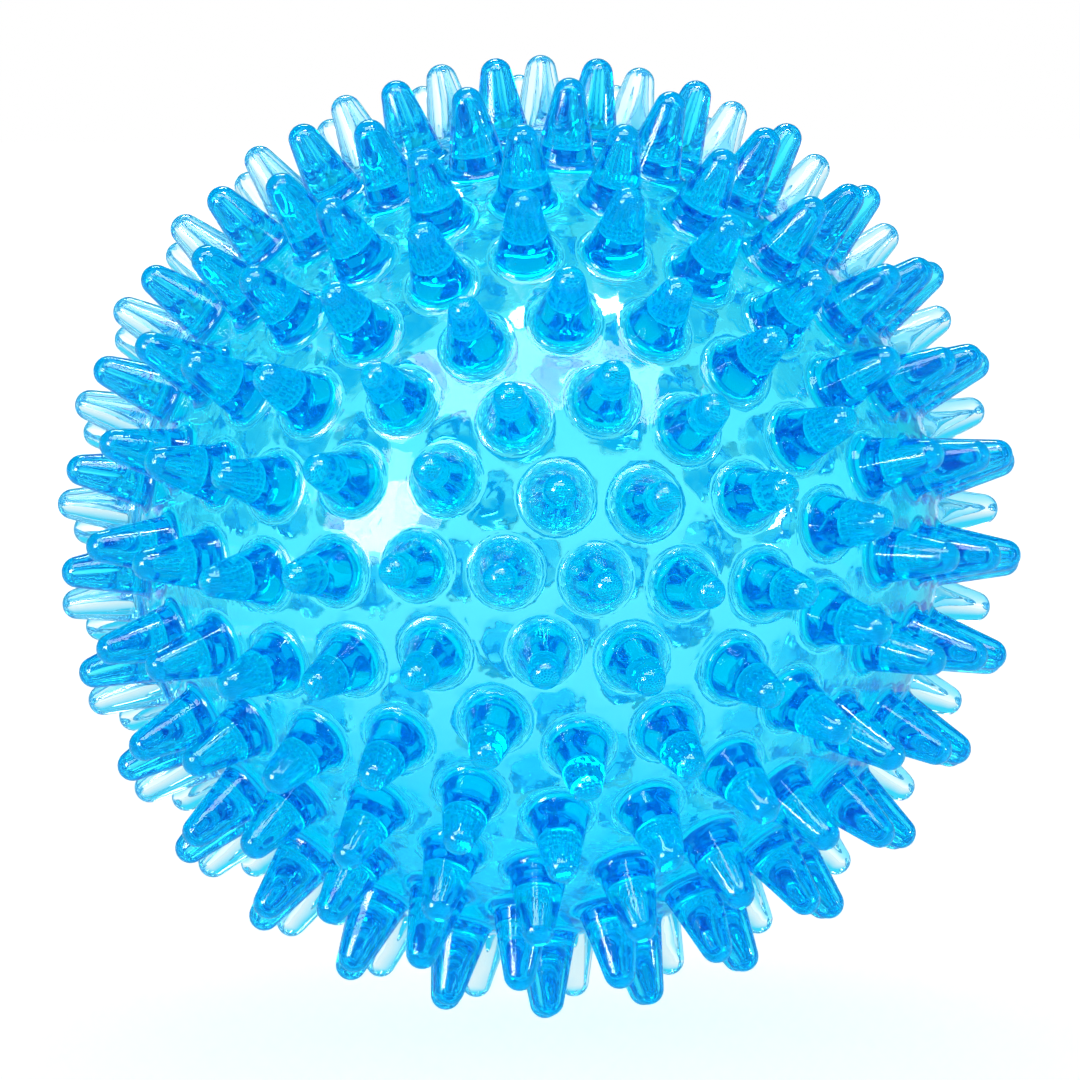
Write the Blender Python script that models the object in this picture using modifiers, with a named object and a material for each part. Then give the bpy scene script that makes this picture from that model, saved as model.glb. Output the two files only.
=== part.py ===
"""Spiked massage ball: two hollow half shells of soft clear plastic, joined by a stepped seam.

Units are metres. The origin is the ball's centre. The middle spike of the blue half points along -Y
and the middle spike of the clear half along +Y, so the seam lies in the XZ plane.
"""

from math import asin, cos, floor, pi, radians, sin, sqrt

import bmesh
import bpy
from mathutils import Vector

# ---------------------------------------------------------------- driving dimensions

BODY_RADIUS = 0.0311  # outside of the hollow body, at the foot of the spikes
WALL = 0.002  # wall of the hollow body
SEAM_GAP = 0.0003  # clearance between the two halves, also across the lap joint
RIM_CHAMFER = 0.0002  # broken edge on each half where the seam shows
RIM_LAND = 0.0001  # least strip of plain body between that edge and the nearest spikes

SPIKE_HEIGHT = 0.0064  # from the body's surface to the tip
SPIKE_FOOT_RADIUS = 0.0028  # at the body's surface
SPIKE_COLLAR_RADIUS = 0.0022  # where the flared foot turns into the cone
SPIKE_COLLAR_HEIGHT = 0.0006
SPIKE_TIP_RADIUS = 0.0012  # where the cone turns into the rounded tip
SPIKE_DOME_HEIGHT = 0.001  # height of the rounded tip
SPIKE_SIDES = 8
SPIKE_CLEARANCE = 0.0009  # least gap left between the feet of neighbouring spikes

ROW_STARTS = (0.0, -4.6, -3.8, 9.9, 1.1, -0.2, -1.3, -3.2)  # degrees, first spike of each row
CLEAR_HALF_TURN = 1.1  # degrees that the clear half is turned about its pole, so the rows stagger

LAP_LENGTH = 0.0015  # how far the blue half's tongue reaches past the seam
LAP_THICKNESS = 0.0009  # thickness of that tongue, on the inside of the wall

RIM_SIDES = 36
CAVITY_SEGMENTS = 24
CAVITY_RINGS = 5

# ---------------------------------------------------------------- derived dimensions

CAVITY_RADIUS = BODY_RADIUS - WALL
TONGUE_RADIUS = CAVITY_RADIUS + LAP_THICKNESS
SPIKE_PITCH = 2.0 * SPIKE_FOOT_RADIUS + SPIKE_CLEARANCE
FOOT_ANGLE = asin(SPIKE_FOOT_RADIUS / BODY_RADIUS)
RIM_HEIGHT = SEAM_GAP / 2.0
OVERLAP = 0.001  # how far a joined or cutting shape runs into the solid or past its face
SCREW_MERGE = 0.000001

BLUE = (0.0, 0.36, 0.95, 1.0)
CLEAR = (0.86, 0.92, 1.0, 1.0)


# ---------------------------------------------------------------- scene helpers


def clear_scene():
    for item in list(bpy.data.objects):
        bpy.data.objects.remove(item, do_unlink=True)


def new_collection(name):
    collection = bpy.data.collections.new(name)
    bpy.context.scene.collection.children.link(collection)
    return collection


def clear_plastic(name, colour):
    """Glossy see-through plastic of one colour."""
    material = bpy.data.materials.new(name)
    material.use_nodes = True
    material.diffuse_color = colour
    shader = material.node_tree.nodes["Principled BSDF"]
    shader.inputs["Base Color"].default_value = colour
    shader.inputs["Roughness"].default_value = 0.06
    shader.inputs["Metallic"].default_value = 0.0
    shader.inputs["IOR"].default_value = 1.5
    shader.inputs["Transmission Weight"].default_value = 0.9
    return material


def add_object(name, mesh, collection):
    item = bpy.data.objects.new(name, mesh)
    collection.objects.link(item)
    return item


def as_cutter(item):
    item.hide_render = True
    item.display_type = "WIRE"


def add_boolean(target, other, operation):
    modifier = target.modifiers.new(operation.title() + "_" + other.name, "BOOLEAN")
    modifier.operation = operation
    modifier.solver = "EXACT"
    modifier.object = other


# ---------------------------------------------------------------- spike layout


def on_sphere(radius, polar, azimuth):
    return Vector(
        (
            radius * sin(polar) * cos(azimuth),
            radius * sin(polar) * sin(azimuth),
            radius * cos(polar),
        )
    )


def spike_axes(turn):
    """Unit vectors of one half's spikes, in rows around the pole, as many as the pitch allows."""
    row_pitch = SPIKE_PITCH / BODY_RADIUS
    rim_angle = asin((RIM_HEIGHT + RIM_CHAMFER + RIM_LAND) / BODY_RADIUS)
    row_count = floor((pi / 2.0 - FOOT_ANGLE - rim_angle) / row_pitch)
    axes = [Vector((0.0, 0.0, 1.0))]
    for row in range(1, row_count + 1):
        polar = row * row_pitch
        count = floor(2.0 * pi * BODY_RADIUS * sin(polar) / SPIKE_PITCH)
        start = radians(ROW_STARTS[row % len(ROW_STARTS)] + turn)
        for step in range(count):
            axes.append(on_sphere(1.0, polar, start + 2.0 * pi * step / count))
    return axes


# ---------------------------------------------------------------- one studded half


def add_foot_ring(bm, axis):
    """The foot of one spike: a ring of vertices on the body's sphere, around the spike's axis."""
    side = axis.cross(Vector((0.0, 0.0, 1.0)))
    if side.length < 0.001:
        side = Vector((1.0, 0.0, 0.0))
    side.normalize()
    other = axis.cross(side)
    centre = axis * (BODY_RADIUS * cos(FOOT_ANGLE))
    ring = []
    for step in range(SPIKE_SIDES):
        angle = 2.0 * pi * (step + 0.5) / SPIKE_SIDES
        offset = side * cos(angle) + other * sin(angle)
        ring.append(bm.verts.new(centre + offset * SPIKE_FOOT_RADIUS))
    return ring


def add_rim_ring(bm, radius, height):
    for step in range(RIM_SIDES):
        angle = 2.0 * pi * step / RIM_SIDES
        bm.verts.new((radius * cos(angle), radius * sin(angle), height))


def grow_step(bm, face, rise, scale):
    """Extrudes a face along its normal and scales the new face about its own centre."""
    normal = face.normal.copy()
    top = bmesh.ops.extrude_discrete_faces(bm, faces=[face])["faces"][0]
    centre = top.calc_center_median()
    for vertex in top.verts:
        vertex.co = centre + (vertex.co - centre) * scale + normal * rise
    top.normal_update()
    return top


def grow_spike(bm, foot):
    """Flared foot, cone and rounded tip, grown from the spike's foot face."""
    foot.normal_update()
    sag = BODY_RADIUS * (1.0 - cos(FOOT_ANGLE))
    collar = grow_step(bm, foot, sag + SPIKE_COLLAR_HEIGHT, SPIKE_COLLAR_RADIUS / SPIKE_FOOT_RADIUS)
    cone = SPIKE_HEIGHT - SPIKE_COLLAR_HEIGHT - SPIKE_DOME_HEIGHT
    shoulder = grow_step(bm, collar, cone, SPIKE_TIP_RADIUS / SPIKE_COLLAR_RADIUS)
    bmesh.ops.poke(bm, faces=[shoulder], offset=SPIKE_DOME_HEIGHT)


def studded_half_mesh(name, turn):
    """A solid half ball with its spikes: the hull of the feet and the rim, with a spike on each foot."""
    bm = bmesh.new()
    rings = [add_foot_ring(bm, axis) for axis in spike_axes(turn)]
    rim_top = RIM_HEIGHT + RIM_CHAMFER
    add_rim_ring(bm, sqrt(BODY_RADIUS**2 - rim_top**2), rim_top)
    add_rim_ring(bm, BODY_RADIUS - RIM_CHAMFER, RIM_HEIGHT)
    bmesh.ops.convex_hull(bm, input=bm.verts[:], use_existing_faces=False)
    bmesh.ops.recalc_face_normals(bm, faces=bm.faces[:])
    for ring in rings:
        members = set(ring)
        facets = {face for vertex in ring for face in vertex.link_faces if members.issuperset(face.verts)}
        foot = bmesh.ops.dissolve_faces(bm, faces=list(facets))["region"][0]
        grow_spike(bm, foot)
    mesh = bpy.data.meshes.new(name)
    bm.to_mesh(mesh)
    bm.free()
    return mesh


# ---------------------------------------------------------------- cavity and lap joint


def turned_solid(name, profile, collection):
    """A closed solid of revolution about Z, from (radius, height) points listed top to bottom."""
    mesh = bpy.data.meshes.new(name)
    points = [(radius, 0.0, height) for radius, height in profile]
    edges = [(index, index + 1) for index in range(len(points) - 1)]
    mesh.from_pydata(points, edges, [])
    item = add_object(name, mesh, collection)
    screw = item.modifiers.new("Turn", "SCREW")
    screw.axis = "Z"
    screw.angle = 2.0 * pi
    screw.steps = CAVITY_SEGMENTS
    screw.render_steps = CAVITY_SEGMENTS
    screw.use_merge_vertices = True
    screw.merge_threshold = SCREW_MERGE
    as_cutter(item)
    return item


def dome_profile(radius, lowest):
    """Quarter circle from the pole down to the given height."""
    last = pi / 2.0 - asin(lowest / radius)
    angles = [last * step / CAVITY_RINGS for step in range(CAVITY_RINGS + 1)]
    return [(radius * sin(angle), radius * cos(angle)) for angle in angles]


def plain_cavity(name, collection):
    """Hollow of the half that carries the tongue: a dome, then straight through the tongue."""
    below = -(LAP_LENGTH + OVERLAP)
    profile = dome_profile(CAVITY_RADIUS, 0.0)
    profile += [(CAVITY_RADIUS, below), (0.0, below)]
    return turned_solid(name, profile, collection)


def stepped_cavity(name, collection):
    """Hollow of the half that takes the tongue: a dome that widens into the tongue's rebate."""
    ledge = LAP_LENGTH + SEAM_GAP - RIM_HEIGHT
    rebate = TONGUE_RADIUS + SEAM_GAP
    profile = dome_profile(CAVITY_RADIUS, ledge)
    profile += [(rebate, ledge), (rebate, -OVERLAP), (0.0, -OVERLAP)]
    return turned_solid(name, profile, collection)


def tongue_disc(name, collection):
    """Disc that becomes the tongue once the cavity is cut through it."""
    lowest = RIM_HEIGHT - LAP_LENGTH
    profile = [(0.0, OVERLAP), (TONGUE_RADIUS, OVERLAP), (TONGUE_RADIUS, lowest), (0.0, lowest)]
    return turned_solid(name, profile, collection)


# ---------------------------------------------------------------- the two halves


def place_half(item, tilt, material):
    item.rotation_euler = (tilt, 0.0, 0.0)
    item.data.materials.append(material)
    item.data.shade_flat()


def build_blue_half(parts, cutters):
    half = add_object("blue_half_shell", studded_half_mesh("blue_half_shell", 0.0), parts)
    disc = tongue_disc("tongue_disc", cutters)
    cavity = plain_cavity("blue_cavity", cutters)
    for helper in (disc, cavity):
        helper.parent = half
    add_boolean(half, disc, "UNION")
    add_boolean(half, cavity, "DIFFERENCE")
    place_half(half, pi / 2.0, clear_plastic("blue_plastic", BLUE))
    return half


def build_clear_half(parts, cutters):
    half = add_object("clear_half_shell", studded_half_mesh("clear_half_shell", CLEAR_HALF_TURN), parts)
    cavity = stepped_cavity("clear_cavity", cutters)
    cavity.parent = half
    add_boolean(half, cavity, "DIFFERENCE")
    place_half(half, -pi / 2.0, clear_plastic("clear_plastic", CLEAR))
    return half


def main():
    clear_scene()
    parts = new_collection("massage_ball")
    cutters = new_collection("cutters")
    build_blue_half(parts, cutters)
    build_clear_half(parts, cutters)


main()
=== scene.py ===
"""Massage ball looks: two see-through studded half shells, with a plain studio around them.

Lengths are metres. Each half is worked out about its own pole along +Z, with its seam facing -Z, and is then
turned so that the blue half's pole points along -Y and the clear half's along +Y. Polar angles are measured
from the pole and azimuths round it.
"""

from math import asin, atan2, cos, floor, hypot, pi, radians, sin, tan
from typing import NamedTuple

import bpy
import numpy as np
from bpy.props import FloatProperty, FloatVectorProperty, IntProperty, PointerProperty
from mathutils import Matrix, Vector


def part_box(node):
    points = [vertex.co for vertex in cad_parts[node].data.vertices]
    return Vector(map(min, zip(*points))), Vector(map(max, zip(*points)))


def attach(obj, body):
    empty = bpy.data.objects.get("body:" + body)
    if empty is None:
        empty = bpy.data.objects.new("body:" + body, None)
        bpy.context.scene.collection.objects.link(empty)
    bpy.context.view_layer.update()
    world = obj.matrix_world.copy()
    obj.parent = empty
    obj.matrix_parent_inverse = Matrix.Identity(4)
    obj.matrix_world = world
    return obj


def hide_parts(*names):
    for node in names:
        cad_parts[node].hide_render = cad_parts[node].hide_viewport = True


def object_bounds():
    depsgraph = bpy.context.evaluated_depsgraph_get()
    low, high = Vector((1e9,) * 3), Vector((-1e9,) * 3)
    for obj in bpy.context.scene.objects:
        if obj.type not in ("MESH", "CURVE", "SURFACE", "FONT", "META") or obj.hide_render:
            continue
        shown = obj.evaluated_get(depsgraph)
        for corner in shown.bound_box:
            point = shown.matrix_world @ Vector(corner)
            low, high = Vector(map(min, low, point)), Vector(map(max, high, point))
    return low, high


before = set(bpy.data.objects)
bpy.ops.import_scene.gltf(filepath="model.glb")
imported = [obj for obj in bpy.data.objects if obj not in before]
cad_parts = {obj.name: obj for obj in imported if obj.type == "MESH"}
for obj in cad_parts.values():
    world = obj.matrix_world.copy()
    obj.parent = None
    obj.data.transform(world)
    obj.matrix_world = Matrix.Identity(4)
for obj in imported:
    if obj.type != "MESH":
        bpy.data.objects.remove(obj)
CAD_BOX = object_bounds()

bl_info = {
    "name": "Spiked massage ball",
    "version": (1, 0, 0),
    "blender": (4, 5, 0),
    "location": "View3D > Sidebar > Massage Ball",
    "description": "Builds a hollow see-through massage ball from two studded half shells",
    "category": "Object",
}

ROW_STARTS = (0.0, -4.6, -3.8, 9.9, 1.1, -0.2, -1.3, -3.2)  # degrees, first spike of each row
BLUE_TO_WORLD = np.array(((1.0, 0.0, 0.0), (0.0, 0.0, -1.0), (0.0, 1.0, 0.0)))
CLEAR_TO_WORLD = np.array(((1.0, 0.0, 0.0), (0.0, 0.0, 1.0), (0.0, -1.0, 0.0)))
WELD = 1e-7  # points nearer than this are one point
RING_TOLERANCE = 1e-6  # polar angle within which a point belongs to a ring
SHARP_ANGLE = 38.0  # degrees; edges that turn more than this stay crisp

DOME_STEPS = 5  # faces from a spike's apex down its round tip
FLANK_SHARES = (0.35, 0.7, 1.0)  # where rings lie down a spike's flank
FILLET_STEPS = 4  # faces down the fillet at a spike's foot
CELL_SHARES = (0.25, 0.6, 1.0)  # where rings lie between a foot and the border of its cell
STRIP_SHARE = 1.0 / 8.0  # half the strip between two rows of cells, as a share of the spikes' clearance
HOLLOW_RINGS = 32  # rings up the hollow's dome

WHITE = (1.0, 1.0, 1.0, 1.0)
FLOOR_COLOUR = (0.8, 0.8, 0.8, 1.0)
DULL_PATCHES = (0.35, 0.75)  # noise levels between which the plastic goes from glossiest to dullest
FLOOR_ROUGHNESS = 0.9
FLOOR_PAINTED_BLUE_SHADOW_REACH = (0.05, 0.16)  # distances from the ball's centre over which the floor's painted blue shadow, seen through the ball, fades
FLOOR_PAINTED_BLUE_SHADOW_DEPTH = (-0.03, 0.03)  # y over which that painted blue shadow sets in, towards the back
FLOOR_PAINTED_SHADOW_REACH = (0.06, 0.5)  # distances from the ball's centre over which the floor's painted shadow fades and its glow comes up
FLOOR_PAINTED_SHADOW_LEAST = 0.8  # the floor's glow under the ball, as a share: a painted shadow
ROOM_TINT_RISE = (0.05, 0.35)  # z of a direction over which the room's tint sets in, upwards
ROOM_TINT_DEPTH = (-0.2, 0.4)  # y of a direction over which it sets in, towards the back
SENSOR_WIDTH = 36.0  # millimetres
NEAREST_SEEN = 0.01
LIGHT_BOUNCES = 32  # enough for light to get through the walls and spikes of both halves
BALL_RADIUS = -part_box("blue_half_shell")[0][1]  # centre to the tip of the blue half's middle spike
FLOOR_HEIGHT = CAD_BOX[0][2]  # the lowest spike tips stand on the floor


# ---------------------------------------------------------------- settings


class BallShape(bpy.types.PropertyGroup):
    """Sizes of the ball's two half shells."""

    ball_radius: FloatProperty(
        name="Ball radius",
        description="From the centre to the tips of the spikes",
        default=BALL_RADIUS,
        unit="LENGTH",
    )
    spike_height: FloatProperty(
        name="Spike height",
        description="From the body's surface to the tip",
        default=0.0064,
        unit="LENGTH",
    )
    foot_radius: FloatProperty(
        name="Foot radius",
        description="Radius of a spike where its fillet leaves the body",
        default=0.00292,
        unit="LENGTH",
    )
    collar_radius: FloatProperty(
        name="Collar radius",
        description="Radius of a spike where its fillet ends and its taper starts",
        default=0.00215,
        unit="LENGTH",
    )
    collar_height: FloatProperty(
        name="Collar height",
        description="Height of the fillet at the foot of a spike",
        default=0.0006,
        unit="LENGTH",
    )
    tip_radius: FloatProperty(
        name="Tip radius",
        description="Radius of the round tip of a spike",
        default=0.0012,
        unit="LENGTH",
    )
    spike_clearance: FloatProperty(
        name="Spike clearance",
        description="Least gap between the feet of neighbouring spikes",
        default=0.00066,
        unit="LENGTH",
    )
    wall: FloatProperty(
        name="Wall",
        description="Wall of the hollow body",
        default=0.002,
        unit="LENGTH",
    )
    seam_bond: FloatProperty(
        name="Seam bond",
        description="How deep the two half shells' faces sink into each other where they are joined",
        default=0.00002,
        unit="LENGTH",
    )
    rim_chamfer: FloatProperty(
        name="Rim chamfer",
        description="Broken edge of each half at the seam",
        default=0.0002,
        unit="LENGTH",
    )
    lap_length: FloatProperty(
        name="Lap length",
        description="How far the blue half's tongue reaches into the clear half",
        default=0.0015,
        unit="LENGTH",
    )
    lap_thickness: FloatProperty(
        name="Lap thickness",
        description="Thickness of that tongue",
        default=0.0009,
        unit="LENGTH",
    )
    clear_turn: FloatProperty(
        name="Clear half's turn",
        description="Turn of the clear half about its pole",
        default=radians(1.1),
        subtype="ANGLE",
    )
    spike_sides: IntProperty(
        name="Spike sides",
        description="Points round a spike, a multiple of 8",
        default=24,
        min=8,
    )


class BallFinish(bpy.types.PropertyGroup):
    """Colours and surface of the two plastics."""

    blue_surface: FloatVectorProperty(
        name="Blue surface colour",
        description="Tint that light takes at each surface of the blue plastic",
        subtype="COLOR",
        default=(0.86, 0.84, 0.96),
    )
    blue_depth: FloatVectorProperty(
        name="Blue depth colour",
        description="Colour that the blue plastic lets through, by depth",
        subtype="COLOR",
        default=(0.0, 0.964, 0.9925),
    )
    blue_density: FloatProperty(
        name="Blue density",
        description="How fast the blue plastic deepens, for each metre",
        default=1000.0,
    )
    clear_surface: FloatVectorProperty(
        name="Clear surface colour",
        description="Tint that light takes at each surface of the clear plastic",
        subtype="COLOR",
        default=(0.95, 0.98, 0.99),
    )
    clear_depth: FloatVectorProperty(
        name="Clear depth colour",
        description="Colour that the clear plastic lets through, by depth",
        subtype="COLOR",
        default=(0.0, 0.8, 0.955),
    )
    clear_density: FloatProperty(
        name="Clear density",
        description="How fast the clear plastic deepens, for each metre",
        default=110.0,
    )
    ior: FloatProperty(
        name="IOR",
        description="Index of refraction of the soft plastic",
        default=1.5,
    )
    roughness: FloatProperty(
        name="Roughness",
        description="Roughness of the plastic where it is glossiest",
        default=0.02,
        subtype="FACTOR",
    )
    gloss: FloatProperty(
        name="Gloss",
        description="Share of plain plastic's mirror shine where the surface is seen square on",
        default=0.3,
        subtype="FACTOR",
    )
    ripple: FloatProperty(
        name="Ripple",
        description="Depth of the moulded surface's slow ripples",
        default=0.00003,
        unit="LENGTH",
    )
    ripple_scale: FloatProperty(
        name="Ripple scale",
        description="Ripples for each metre",
        default=420.0,
    )
    handling_scale: FloatProperty(
        name="Handling scale",
        description="Duller patches, from being handled, for each metre",
        default=160.0,
    )
    handling: FloatProperty(
        name="Handling",
        description="How many times rougher the duller patches are",
        default=3.0,
    )


class BallStudio(bpy.types.PropertyGroup):
    """Room, floor and camera."""

    # Also the colour of the floor's painted blue shadow, seen through the ball close behind it.
    room_and_painted_shadow_tint: FloatVectorProperty(
        name="Room tint",
        description="Colour of what shines through the ball from behind and above it",
        subtype="COLOR",
        default=(0.05, 0.75, 1.0),
    )
    mirrored_level: FloatProperty(
        name="Mirrored level",
        description="How bright the room and the floor look in the ball's gloss",
        default=0.12,
        subtype="FACTOR",
    )
    ambient_level: FloatProperty(
        name="Ambient level",
        description="How brightly the room lights the floor",
        default=0.25,
        subtype="FACTOR",
    )
    floor_size: FloatProperty(
        name="Floor size",
        description="Side of the square floor",
        default=6.0,
        unit="LENGTH",
    )
    camera_azimuth: FloatProperty(
        name="Camera azimuth",
        description="Turn of the camera about the ball, from straight in front of the blue half",
        default=radians(-7.5),
        subtype="ANGLE",
    )
    camera_elevation: FloatProperty(
        name="Camera elevation",
        description="How far above the level the camera looks from",
        default=radians(5.7),
        subtype="ANGLE",
    )
    camera_distance: FloatProperty(
        name="Camera distance",
        description="From the ball's centre to the camera",
        default=0.398,
        unit="LENGTH",
    )
    view_angle: FloatProperty(
        name="View angle",
        description="Width of the camera's view",
        default=radians(12.06),
        subtype="ANGLE",
    )
    camera_shift: FloatVectorProperty(
        name="Camera shift",
        description="Shift of the view, as a share of its width",
        size=2,
        default=(0.0006, -0.0035),
    )


class Lamp(NamedTuple):
    """A flat, even lamp that faces the ball."""

    name: str
    azimuth: float  # degrees from the front, which is the -Y side
    elevation: float  # degrees above the level
    distance: float  # from the ball's centre
    width: float
    height: float
    glow: float  # brightness of its face
    lights_floor: bool = False  # lights the floor, and leaves no highlight on the ball
    shines_through: bool = False  # is seen through the plastic


LAMPS = (
    Lamp("lamp_floor", 180.0, 66.0, 0.7, 0.45, 0.3, glow=1.5, lights_floor=True),
    Lamp("lamp_back", 184.0, 57.0, 0.75, 0.4, 0.1, glow=25.0, shines_through=True),
    Lamp("lamp_left", -52.0, 12.0, 0.8, 0.5, 0.4, glow=14.0),
    Lamp("lamp_left_strip", -52.0, 9.4, 0.75, 0.3, 0.24, glow=45.0),
    Lamp("lamp_top", 12.0, 71.2, 0.75, 0.34, 0.1, glow=70.0),
    Lamp("lamp_right", 61.6, 5.5, 0.75, 0.12, 0.065, glow=60.0),
    Lamp("lamp_veil", -10.0, 52.0, 0.8, 1.0, 0.34, glow=18.0),
)


# ---------------------------------------------------------------- spike layout


def on_sphere(polar, azimuth):
    """Unit vectors: (sin polar cos azimuth, sin polar sin azimuth, cos polar)."""
    across = np.sin(polar)
    return np.stack(
        (across * np.cos(azimuth), across * np.sin(azimuth), np.cos(polar) * np.ones_like(azimuth)),
        axis=-1,
    )


def body_radius(shape):
    """Outside of the hollow body: the spikes' tips less their height."""
    return shape.ball_radius - shape.spike_height


def rim_polar(shape):
    """Polar angle at which the body's sphere meets the chamfer of the rim."""
    return pi / 2.0 - asin((shape.rim_chamfer - shape.seam_bond / 2.0) / body_radius(shape))


def spike_rows(shape, turn):
    """(polar, azimuths, border above, border below) of each row of spikes but the pole's.

    Rows are one pitch apart, a row holds as many spikes as fit a pitch apart round it, and a border lies
    midway between two rows, with the last at the rim.
    """
    radius = body_radius(shape)
    pitch = 2.0 * shape.foot_radius + shape.spike_clearance
    step = pitch / radius
    last = rim_polar(shape) - asin(shape.foot_radius / radius)
    count = floor(last / step)
    rows = []
    for row in range(1, count + 1):
        spikes = floor(2.0 * pi * radius * sin(row * step) / pitch)
        start = radians(ROW_STARTS[row % len(ROW_STARTS)]) + turn
        azimuths = start + 2.0 * pi * np.arange(spikes) / spikes
        below = rim_polar(shape) if row == count else (row + 0.5) * step
        rows.append((row * step, azimuths, (row - 0.5) * step, below))
    return rows


# ---------------------------------------------------------------- mesh helpers


def grid_faces(index):
    """Quads of grids whose last axis closes on itself; index is (..., rows, columns), rows going down."""
    right = np.roll(index, -1, axis=-1)
    quads = (index[..., :-1, :], index[..., 1:, :], right[..., 1:, :], right[..., :-1, :])
    return np.stack(quads, axis=-1).reshape(-1, 4)


def fan_faces(ring, apex):
    """Triangles from the closed rings in (..., columns) up to one apex each."""
    tips = np.broadcast_to(apex[..., None], ring.shape)
    return np.stack((tips, ring, np.roll(ring, -1, axis=-1)), axis=-1).reshape(-1, 3)


def zipper_faces(upper, upper_azimuths, lower, lower_azimuths):
    """Triangles between two closed rings with different numbers of points.

    All the points are taken in order of azimuth, and each makes a triangle with the one before it on its own
    ring and the latest one on the other.
    """
    azimuths = np.concatenate((upper_azimuths, lower_azimuths))
    on_upper = np.arange(len(azimuths)) < len(upper)
    on_upper = on_upper[np.argsort(azimuths, kind="stable")]
    latest_upper = np.cumsum(on_upper) - 1
    latest_lower = np.cumsum(~on_upper) - 1
    step_back = np.where(on_upper, upper[latest_upper - 1], lower[latest_lower - 1])
    across = np.where(on_upper, lower[latest_lower], upper[latest_upper])
    own = np.where(on_upper, upper[latest_upper], lower[latest_lower])
    second = np.where(on_upper, across, own)
    third = np.where(on_upper, own, across)
    return np.stack((step_back, second, third), axis=-1)


def weld(points, faces):
    """Makes points in the same place one point, in the list of points and in each array of faces."""
    cells = np.rint(points / WELD).astype(np.int64)
    _, first, index = np.unique(cells, axis=0, return_index=True, return_inverse=True)
    index = index.reshape(-1)
    return points[first], [index[part] for part in faces]


def ring_at(points, polar):
    """(indices, azimuths) of the points that lie at one polar angle, in order of azimuth."""
    polars = np.arctan2(np.hypot(points[:, 0], points[:, 1]), points[:, 2])
    ring = np.flatnonzero(np.abs(polars - polar) < RING_TOLERANCE)
    azimuths = np.arctan2(points[ring, 1], points[ring, 0])
    order = np.argsort(azimuths)
    return ring[order], azimuths[order]


def mesh_object(name, points, quads, triangles, material):
    """A smooth-shaded object from arrays of points, quads and triangles, with its hard edges marked."""
    mesh = bpy.data.meshes.new(name)
    corners = np.concatenate((quads.ravel(), triangles.ravel()))
    sizes = np.repeat((4, 3), (len(quads), len(triangles)))
    mesh.vertices.add(len(points))
    mesh.loops.add(len(corners))
    mesh.polygons.add(len(sizes))
    mesh.vertices.foreach_set("co", points.astype(np.float32).ravel())
    mesh.loops.foreach_set("vertex_index", corners.astype(np.int32))
    mesh.polygons.foreach_set("loop_start", (np.cumsum(sizes) - sizes).astype(np.int32))
    mesh.update(calc_edges=True)
    mesh.shade_smooth()
    mesh.set_sharp_from_angle(angle=radians(SHARP_ANGLE))
    mesh.materials.append(material)
    item = bpy.data.objects.new(name, mesh)
    bpy.context.scene.collection.objects.link(item)
    return item


# ---------------------------------------------------------------- one studded half


def spike_profile(shape):
    """(radius, distance from the ball's centre) down a spike, from just below the apex to its foot.

    The tip is part of a circle, the flank is the straight line that touches that circle and ends at the
    collar, and the fillet is a quadratic curve that leaves the flank along its slope and meets the body's
    sphere along its tangent.
    """
    body = body_radius(shape)
    tip_centre = shape.ball_radius - shape.tip_radius
    collar = np.array((shape.collar_radius, body + shape.collar_height))
    drop = tip_centre - collar[1]
    taper = atan2(collar[0], drop) - asin(shape.tip_radius / hypot(collar[0], drop))
    turns = (pi / 2.0 - taper) * np.arange(1, DOME_STEPS + 1) / DOME_STEPS
    dome = np.stack((np.sin(turns), np.cos(turns)), axis=-1) * shape.tip_radius + (0.0, tip_centre)

    along = np.array(FLANK_SHARES)[:, None]
    flank = dome[-1] + (collar - dome[-1]) * along

    foot_angle = asin(shape.foot_radius / body)
    foot = body * np.array((sin(foot_angle), cos(foot_angle)))
    rise, run = collar[1] - foot[1], foot[0] - collar[0]
    out = (run - rise * tan(taper)) / (1.0 - tan(foot_angle) * tan(taper))
    corner = foot + out * np.array((-1.0, tan(foot_angle)))
    t = np.arange(1, FILLET_STEPS + 1)[:, None] / FILLET_STEPS
    fillet = (1.0 - t) ** 2 * collar + 2.0 * t * (1.0 - t) * corner + t**2 * foot
    return np.concatenate((dome, flank, fillet)).T


def spike_points(shape, polar, azimuths, directions):
    """(apexes, rings) of the spikes of one row: the profile turned about each spike's own axis.

    A point is axis * height + (south cos d + east sin d) * radius, for each direction d.
    """
    axes = on_sphere(polar, azimuths)
    south = np.stack(
        (cos(polar) * np.cos(azimuths), cos(polar) * np.sin(azimuths), -sin(polar) * np.ones_like(azimuths)),
        axis=-1,
    )
    east = np.stack((-np.sin(azimuths), np.cos(azimuths), np.zeros_like(azimuths)), axis=-1)
    radii, heights = spike_profile(shape)
    outwards = (
        south[:, None, None] * np.cos(directions)[None, None, :, None]
        + east[:, None, None] * np.sin(directions)[None, None, :, None]
    )
    rings = axes[:, None, None] * heights[None, :, None, None] + outwards * radii[None, :, None, None]
    return axes * shape.ball_radius, rings


def cell_points(shape, feet, border):
    """Body's surface round each spike: rings that go from its foot circle to the border of its cell.

    A point is the foot point and the border point mixed by share, and put back on the sphere.
    """
    share = np.array(CELL_SHARES)[None, :, None, None]
    mixed = (1.0 - share) * feet[:, None] + share * border[:, None] * body_radius(shape)
    return mixed * (body_radius(shape) / np.linalg.norm(mixed, axis=-1, keepdims=True))


def row_border(polar, azimuths, above, below, directions):
    """Unit vectors on the edge of each spike's cell, a box in polar angle and azimuth, by direction."""
    reach = np.maximum(np.abs(np.cos(directions)), np.abs(np.sin(directions)))
    down = np.cos(directions) / reach
    along = np.sin(directions) / reach
    polars = polar + np.where(down > 0.0, (below - polar) * down, (polar - above) * down)
    return on_sphere(polars[None, :], azimuths[:, None] + along[None, :] * pi / len(azimuths))


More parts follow.
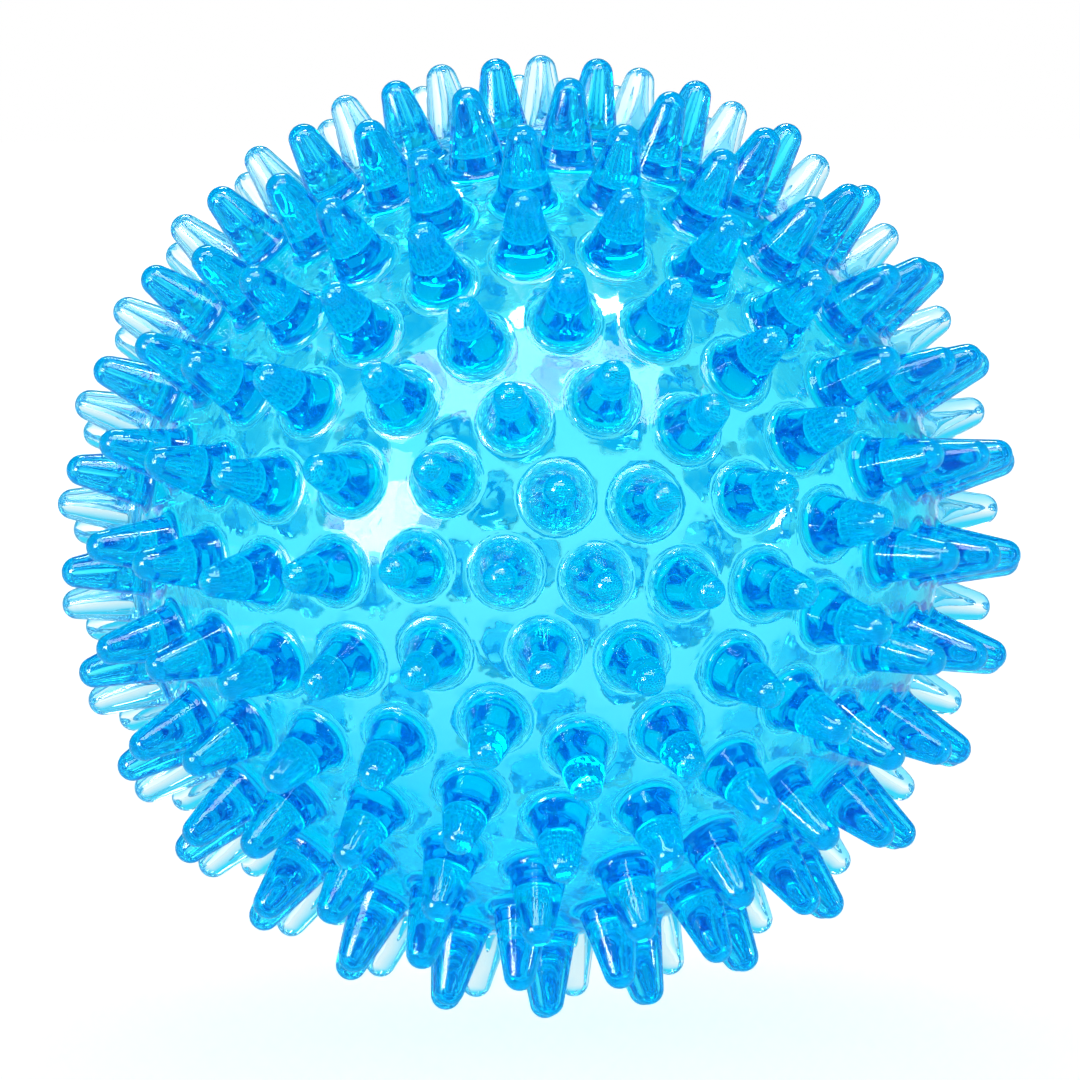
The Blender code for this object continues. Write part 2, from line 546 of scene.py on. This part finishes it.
def studded_skin(shape, turn):
    """(points, quads, triangles) of one half's outer surface, from the pole to the rim's chamfer."""
    sides = shape.spike_sides
    directions = 2.0 * pi * np.arange(sides) / sides
    strip = STRIP_SHARE * shape.spike_clearance / body_radius(shape)
    rows = spike_rows(shape, turn)
    blocks, quads, triangles = [], [], []
    borders = [(0.0, np.zeros(1), None, rows[0][2])] + rows
    total = 0
    for number, (polar, azimuths, above, below) in enumerate(borders):
        apexes, rings = spike_points(shape, polar, azimuths, directions)
        lower = below if number == len(rows) else below - strip
        if number == 0:
            border = on_sphere(np.full((1, sides), lower), directions[None, :])
        else:
            border = row_border(polar, azimuths, above + strip, lower, directions)
        rings = np.concatenate((rings, cell_points(shape, rings[:, -1], border)), axis=1)
        index = total + np.arange(rings[..., 0].size).reshape(rings.shape[:-1])
        tips = total + index.size + np.arange(len(apexes))
        quads.append(grid_faces(index))
        triangles.append(fan_faces(index[:, 0], tips))
        blocks += [rings.reshape(-1, 3), apexes]
        total += index.size + len(apexes)
    points, faces = weld(np.concatenate(blocks), [np.concatenate(quads), np.concatenate(triangles)])
    for row in rows:
        seam = zipper_faces(*ring_at(points, row[2] - strip), *ring_at(points, row[2] + strip))
        faces[1] = np.concatenate((faces[1], seam))
    return points, faces[0], faces[1]


def turned_inside(shape, profile, points):
    """(points, quads, triangles) that carry a profile of (radius, height) round the pole's axis.

    It starts from the skin's last ring and ends at the middle of the hollow's dome.
    """
    ring, azimuths = ring_at(points, rim_polar(shape))
    radii, heights = np.array(profile).T
    turned = np.stack(
        (
            radii[:, None] * np.cos(azimuths),
            radii[:, None] * np.sin(azimuths),
            heights[:, None] * np.ones_like(azimuths),
        ),
        axis=-1,
    )
    inner = len(points) + np.arange(turned[..., 0].size).reshape(turned.shape[:-1])
    apex = np.array((len(points) + inner.size,))
    top = np.array(((0.0, 0.0, body_radius(shape) - shape.wall),))
    index = np.concatenate((ring[None, :], inner))
    triangles = np.stack((inner[-1], np.broadcast_to(apex, ring.shape), np.roll(inner[-1], -1)), axis=-1)
    return np.concatenate((points, turned.reshape(-1, 3), top)), grid_faces(index), triangles


def hollow_dome(shape, start):
    """(radius, height) up the hollow's quarter circle, from a height to just short of its middle."""
    radius = body_radius(shape) - shape.wall
    angles = np.linspace(asin(start / radius), pi / 2.0, HOLLOW_RINGS + 1)[:-1]
    return [(radius * cos(angle), radius * sin(angle)) for angle in angles]


def tongue_rim(shape):
    """(radius, height) of the blue half's rim: chamfer, seam face, tongue, then the hollow."""
    seam = -shape.seam_bond / 2.0
    hollow = body_radius(shape) - shape.wall
    tongue = hollow + shape.lap_thickness
    end = seam - shape.lap_length
    edge = body_radius(shape) - shape.rim_chamfer
    return [(edge, seam), (tongue, seam), (tongue, end), (hollow, end)] + hollow_dome(shape, 0.0)


def rebate_rim(shape):
    """(radius, height) of the clear half's rim: chamfer, seam face, rebate, then the hollow."""
    seam = -shape.seam_bond / 2.0
    rebate = body_radius(shape) - shape.wall + shape.lap_thickness - shape.seam_bond
    ledge = shape.lap_length + seam
    edge = body_radius(shape) - shape.rim_chamfer
    return [(edge, seam), (rebate, seam), (rebate, ledge)] + hollow_dome(shape, ledge)


def half_shell(name, shape, turn, rim, to_world, material):
    """One closed half shell: its studded skin, its rim and its hollow, turned to where it belongs."""
    points, quads, triangles = studded_skin(shape, turn)
    points, more_quads, more_triangles = turned_inside(shape, rim(shape), points)
    return mesh_object(
        name,
        points @ to_world.T,
        np.concatenate((quads, more_quads)),
        np.concatenate((triangles, more_triangles)),
        material,
    )


# ---------------------------------------------------------------- materials


def add_node(tree, kind, **inputs):
    """A new node, with values for its named inputs."""
    node = tree.nodes.new(kind)
    for name, value in inputs.items():
        node.inputs[name.replace("_", " ")].default_value = value
    return node


def combined(tree, operation, *values):
    """Output of a Math node; each value is a number or another node's output."""
    node = tree.nodes.new("ShaderNodeMath")
    node.operation = operation
    for socket, value in zip(node.inputs, values):
        if isinstance(value, bpy.types.NodeSocket):
            tree.links.new(value, socket)
        else:
            socket.default_value = value
    return node.outputs["Value"]


def product(tree, *shares):
    """All the given outputs multiplied together."""
    result = shares[0]
    for share in shares[1:]:
        result = combined(tree, "MULTIPLY", result, share)
    return result


def ramp(tree, value, span, low=0.0, high=1.0):
    """Straight line from low to high while the value crosses the span, and level on both sides of it."""
    start, end = span
    node = add_node(tree, "ShaderNodeMapRange", From_Min=start, From_Max=end, To_Min=low, To_Max=high)
    tree.links.new(value, node.inputs["Value"])
    return node.outputs["Result"]


def white_to(tree, colour, share):
    """White that goes over to a colour by share."""
    node = tree.nodes.new("ShaderNodeMix")
    node.data_type = "RGBA"
    node.inputs["A"].default_value = WHITE
    node.inputs["B"].default_value = (*colour, 1.0)
    tree.links.new(share, node.inputs["Factor"])
    return node.outputs["Result"]


def object_noise(tree, scale, detail):
    """Noise on the object's own coordinates."""
    place = add_node(tree, "ShaderNodeTexCoord")
    noise = add_node(tree, "ShaderNodeTexNoise", Scale=scale, Detail=detail)
    tree.links.new(place.outputs["Object"], noise.inputs["Vector"])
    return noise.outputs["Fac"]


def new_material(name):
    """A material with nodes, and its tree and main shader."""
    material = bpy.data.materials.new(name)
    material.use_nodes = True
    tree = material.node_tree
    return material, tree, tree.nodes["Principled BSDF"]


def see_through_plastic(name, surface, depth, density, finish):
    """Soft glossy plastic that deepens with thickness, faintly rippled and here and there a little duller."""
    material, tree, shader = new_material(name)
    shader.inputs["Base Color"].default_value = (*surface, 1.0)
    shader.inputs["IOR"].default_value = finish.ior
    shader.inputs["Transmission Weight"].default_value = 1.0
    shader.inputs["Specular Tint"].default_value = (finish.gloss, finish.gloss, finish.gloss, 1.0)

    patches = object_noise(tree, finish.handling_scale, 3.0)
    dullest = finish.roughness * finish.handling
    roughness = ramp(tree, patches, DULL_PATCHES, low=finish.roughness, high=dullest)
    tree.links.new(roughness, shader.inputs["Roughness"])

    bump = add_node(tree, "ShaderNodeBump", Strength=1.0, Distance=finish.ripple)
    tree.links.new(object_noise(tree, finish.ripple_scale, 2.0), bump.inputs["Height"])
    tree.links.new(bump.outputs["Normal"], shader.inputs["Normal"])

    volume = add_node(tree, "ShaderNodeVolumeAbsorption", Color=(*depth, 1.0), Density=density)
    tree.links.new(volume.outputs["Volume"], tree.nodes["Material Output"].inputs["Volume"])
    return material


def seen_level(tree, mirrored, lit):
    """1 for rays from the camera and those let through, and a lower level for mirrored rays and for the rest.

    A ray that is let through counts as mirrored too, so the highest level that a ray has holds.
    """
    path = add_node(tree, "ShaderNodeLightPath")
    level = combined(tree, "MULTIPLY_ADD", path.outputs["Is Glossy Ray"], mirrored - lit, lit)
    for kind in ("Is Camera Ray", "Is Transmission Ray"):
        level = combined(tree, "MAXIMUM", level, path.outputs[kind])
    return level


def floor_material(studio):
    """Pale matt floor that looks as white as the backdrop and keeps the ball's shadow.

    Where it lies behind the ball and close to it, what shines through the ball is a painted blue shadow in
    the room's tint. Its glow is a little weaker close to the ball: a painted shadow that deepens the ball's
    own shadow.
    """
    material, tree, shader = new_material("pale_floor")
    shader.inputs["Base Color"].default_value = FLOOR_COLOUR
    shader.inputs["Roughness"].default_value = FLOOR_ROUGHNESS
    shader.inputs["Specular IOR Level"].default_value = 0.0

    place = add_node(tree, "ShaderNodeTexCoord")
    split = add_node(tree, "ShaderNodeSeparateXYZ")
    tree.links.new(place.outputs["Object"], split.inputs["Vector"])
    reach = tree.nodes.new("ShaderNodeVectorMath")
    reach.operation = "LENGTH"
    tree.links.new(place.outputs["Object"], reach.inputs[0])
    path = add_node(tree, "ShaderNodeLightPath")

    # Painted blue shadow: the floor close behind the ball glows in the room's tint, seen only through the
    # ball.
    near = ramp(tree, reach.outputs["Value"], FLOOR_PAINTED_BLUE_SHADOW_REACH, low=1.0, high=0.0)
    behind = ramp(tree, split.outputs["Y"], FLOOR_PAINTED_BLUE_SHADOW_DEPTH)
    tinted = product(tree, near, behind, path.outputs["Is Transmission Ray"])
    tree.links.new(white_to(tree, studio.room_and_painted_shadow_tint, tinted), shader.inputs["Emission Color"])

    # Painted shadow: the floor's glow is weaker close to the ball.
    painted_shadow_glow = ramp(tree, reach.outputs["Value"], FLOOR_PAINTED_SHADOW_REACH, low=FLOOR_PAINTED_SHADOW_LEAST)
    level = product(tree, seen_level(tree, studio.mirrored_level, 0.0), painted_shadow_glow)
    tree.links.new(level, shader.inputs["Emission Strength"])
    return material


# ---------------------------------------------------------------- studio


def studio_world(studio):
    """White to the camera in every direction.

    What shines through the ball is white too, and takes the room's tint behind the ball and above it. The
    ball's gloss shows the same room dimmer, and what only lights the floor is untinted.
    """
    world = bpy.data.worlds.new("studio")
    world.use_nodes = True
    tree = world.node_tree
    tree.nodes.clear()
    place = add_node(tree, "ShaderNodeTexCoord")
    split = add_node(tree, "ShaderNodeSeparateXYZ")
    tree.links.new(place.outputs["Generated"], split.inputs["Vector"])
    path = add_node(tree, "ShaderNodeLightPath")

    above = ramp(tree, split.outputs["Z"], ROOM_TINT_RISE)
    behind = ramp(tree, split.outputs["Y"], ROOM_TINT_DEPTH)
    unlit = combined(tree, "SUBTRACT", 1.0, path.outputs["Is Diffuse Ray"])
    room = add_node(tree, "ShaderNodeBackground")
    tinted = white_to(tree, studio.room_and_painted_shadow_tint, product(tree, above, behind, unlit))
    tree.links.new(tinted, room.inputs["Color"])
    level = seen_level(tree, studio.mirrored_level, studio.ambient_level)
    tree.links.new(level, room.inputs["Strength"])

    backdrop = add_node(tree, "ShaderNodeBackground", Color=WHITE, Strength=1.0)
    seen = add_node(tree, "ShaderNodeMixShader")
    out = add_node(tree, "ShaderNodeOutputWorld")
    tree.links.new(path.outputs["Is Camera Ray"], seen.inputs["Fac"])
    tree.links.new(room.outputs["Background"], seen.inputs[1])
    tree.links.new(backdrop.outputs["Background"], seen.inputs[2])
    tree.links.new(seen.outputs["Shader"], out.inputs["Surface"])
    bpy.context.scene.world = world


def around_ball(azimuth, elevation, distance):
    """Place at a distance from the ball's centre; azimuth 0 is straight in front, on the -Y side."""
    level = distance * cos(elevation)
    return (level * sin(azimuth), -level * cos(azimuth), distance * sin(elevation))


def add_facing_ball(name, data, place):
    """An object of the given data at its place, with its -Z axis towards the ball's centre."""
    item = bpy.data.objects.new(name, data)
    item.location = place
    item.rotation_euler = (-item.location).to_track_quat("-Z", "Y").to_euler()
    bpy.context.scene.collection.objects.link(item)
    return item


def soft_box(lamp):
    """The lamp that a row of the lamps' list describes."""
    light = bpy.data.lights.new(lamp.name, "AREA")
    light.shape = "RECTANGLE"
    light.size = lamp.width
    light.size_y = lamp.height
    light.energy = lamp.glow * pi * lamp.width * lamp.height
    place = around_ball(radians(lamp.azimuth), radians(lamp.elevation), lamp.distance)
    item = add_facing_ball(lamp.name, light, place)
    item.visible_diffuse = lamp.lights_floor
    item.visible_glossy = not lamp.lights_floor
    item.visible_transmission = lamp.shines_through


def floor_plane(studio):
    """Square floor that the lowest spike tips stand on."""
    mesh = bpy.data.meshes.new("floor")
    side = studio.floor_size / 2.0
    corners = [(-side, -side), (side, -side), (side, side), (-side, side)]
    mesh.from_pydata([(x, y, FLOOR_HEIGHT) for x, y in corners], [], [(0, 1, 2, 3)])
    mesh.materials.append(floor_material(studio))
    item = bpy.data.objects.new("floor", mesh)
    bpy.context.scene.collection.objects.link(item)


def add_camera(studio):
    """The camera: its lens is half the sensor's width over the tangent of half the view angle."""
    data = bpy.data.cameras.new("camera")
    data.sensor_width = SENSOR_WIDTH
    data.lens = SENSOR_WIDTH / 2.0 / tan(studio.view_angle / 2.0)
    data.shift_x, data.shift_y = studio.camera_shift
    data.clip_start = NEAREST_SEEN
    place = around_ball(studio.camera_azimuth, studio.camera_elevation, studio.camera_distance)
    bpy.context.scene.camera = add_facing_ball("camera", data, place)


# ---------------------------------------------------------------- operators


class BALL_OT_blue_half(bpy.types.Operator):
    """Builds the blue half shell."""

    bl_idname = "massage_ball.blue_half"
    bl_label = "Blue Half Shell"

    def execute(self, context):
        shape = context.scene.ball_shape
        finish = context.scene.ball_finish
        plastic = see_through_plastic(
            "blue_plastic", finish.blue_surface, finish.blue_depth, finish.blue_density, finish
        )
        piece = half_shell("blue_studded_half", shape, 0.0, tongue_rim, BLUE_TO_WORLD, plastic)
        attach(piece, "root")
        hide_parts("blue_half_shell")
        return {"FINISHED"}


class BALL_OT_clear_half(bpy.types.Operator):
    """Builds the clear half shell."""

    bl_idname = "massage_ball.clear_half"
    bl_label = "Clear Half Shell"

    def execute(self, context):
        shape = context.scene.ball_shape
        finish = context.scene.ball_finish
        plastic = see_through_plastic(
            "clear_plastic", finish.clear_surface, finish.clear_depth, finish.clear_density, finish
        )
        turn = shape.clear_turn
        piece = half_shell("clear_studded_half", shape, turn, rebate_rim, CLEAR_TO_WORLD, plastic)
        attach(piece, "root")
        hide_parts("clear_half_shell")
        return {"FINISHED"}


class BALL_OT_studio(bpy.types.Operator):
    """Sets up the pale floor, the backdrop, the soft lamps and the camera."""

    bl_idname = "massage_ball.studio"
    bl_label = "Studio"

    def execute(self, context):
        studio = context.scene.ball_studio
        context.scene.view_settings.view_transform = "Standard"
        light_paths = context.scene.cycles
        light_paths.max_bounces = LIGHT_BOUNCES
        light_paths.glossy_bounces = LIGHT_BOUNCES
        light_paths.transmission_bounces = LIGHT_BOUNCES
        studio_world(studio)
        floor_plane(studio)
        for lamp in LAMPS:
            soft_box(lamp)
        add_camera(studio)
        return {"FINISHED"}


class BALL_PT_panel(bpy.types.Panel):
    """Lists the ball's sizes, finish and studio, with a button for each part."""

    bl_label = "Massage Ball"
    bl_space_type = "VIEW_3D"
    bl_region_type = "UI"
    bl_category = "Massage Ball"

    def draw(self, context):
        for group in (context.scene.ball_shape, context.scene.ball_finish, context.scene.ball_studio):
            box = self.layout.box()
            for name in group.__annotations__:
                box.prop(group, name)
        for operator in OPERATORS:
            self.layout.operator(operator.bl_idname)


# ---------------------------------------------------------------- register and run

OPERATORS = (BALL_OT_blue_half, BALL_OT_clear_half, BALL_OT_studio)
CLASSES = (BallShape, BallFinish, BallStudio, *OPERATORS, BALL_PT_panel)


def register():
    for item in CLASSES:
        bpy.utils.register_class(item)
    bpy.types.Scene.ball_shape = PointerProperty(type=BallShape)
    bpy.types.Scene.ball_finish = PointerProperty(type=BallFinish)
    bpy.types.Scene.ball_studio = PointerProperty(type=BallStudio)


def unregister():
    del bpy.types.Scene.ball_studio
    del bpy.types.Scene.ball_finish
    del bpy.types.Scene.ball_shape
    for item in reversed(CLASSES):
        bpy.utils.unregister_class(item)


def main():
    register()
    bpy.ops.massage_ball.blue_half()
    bpy.ops.massage_ball.clear_half()
    bpy.ops.massage_ball.studio()


if __name__ == "__main__":
    main()
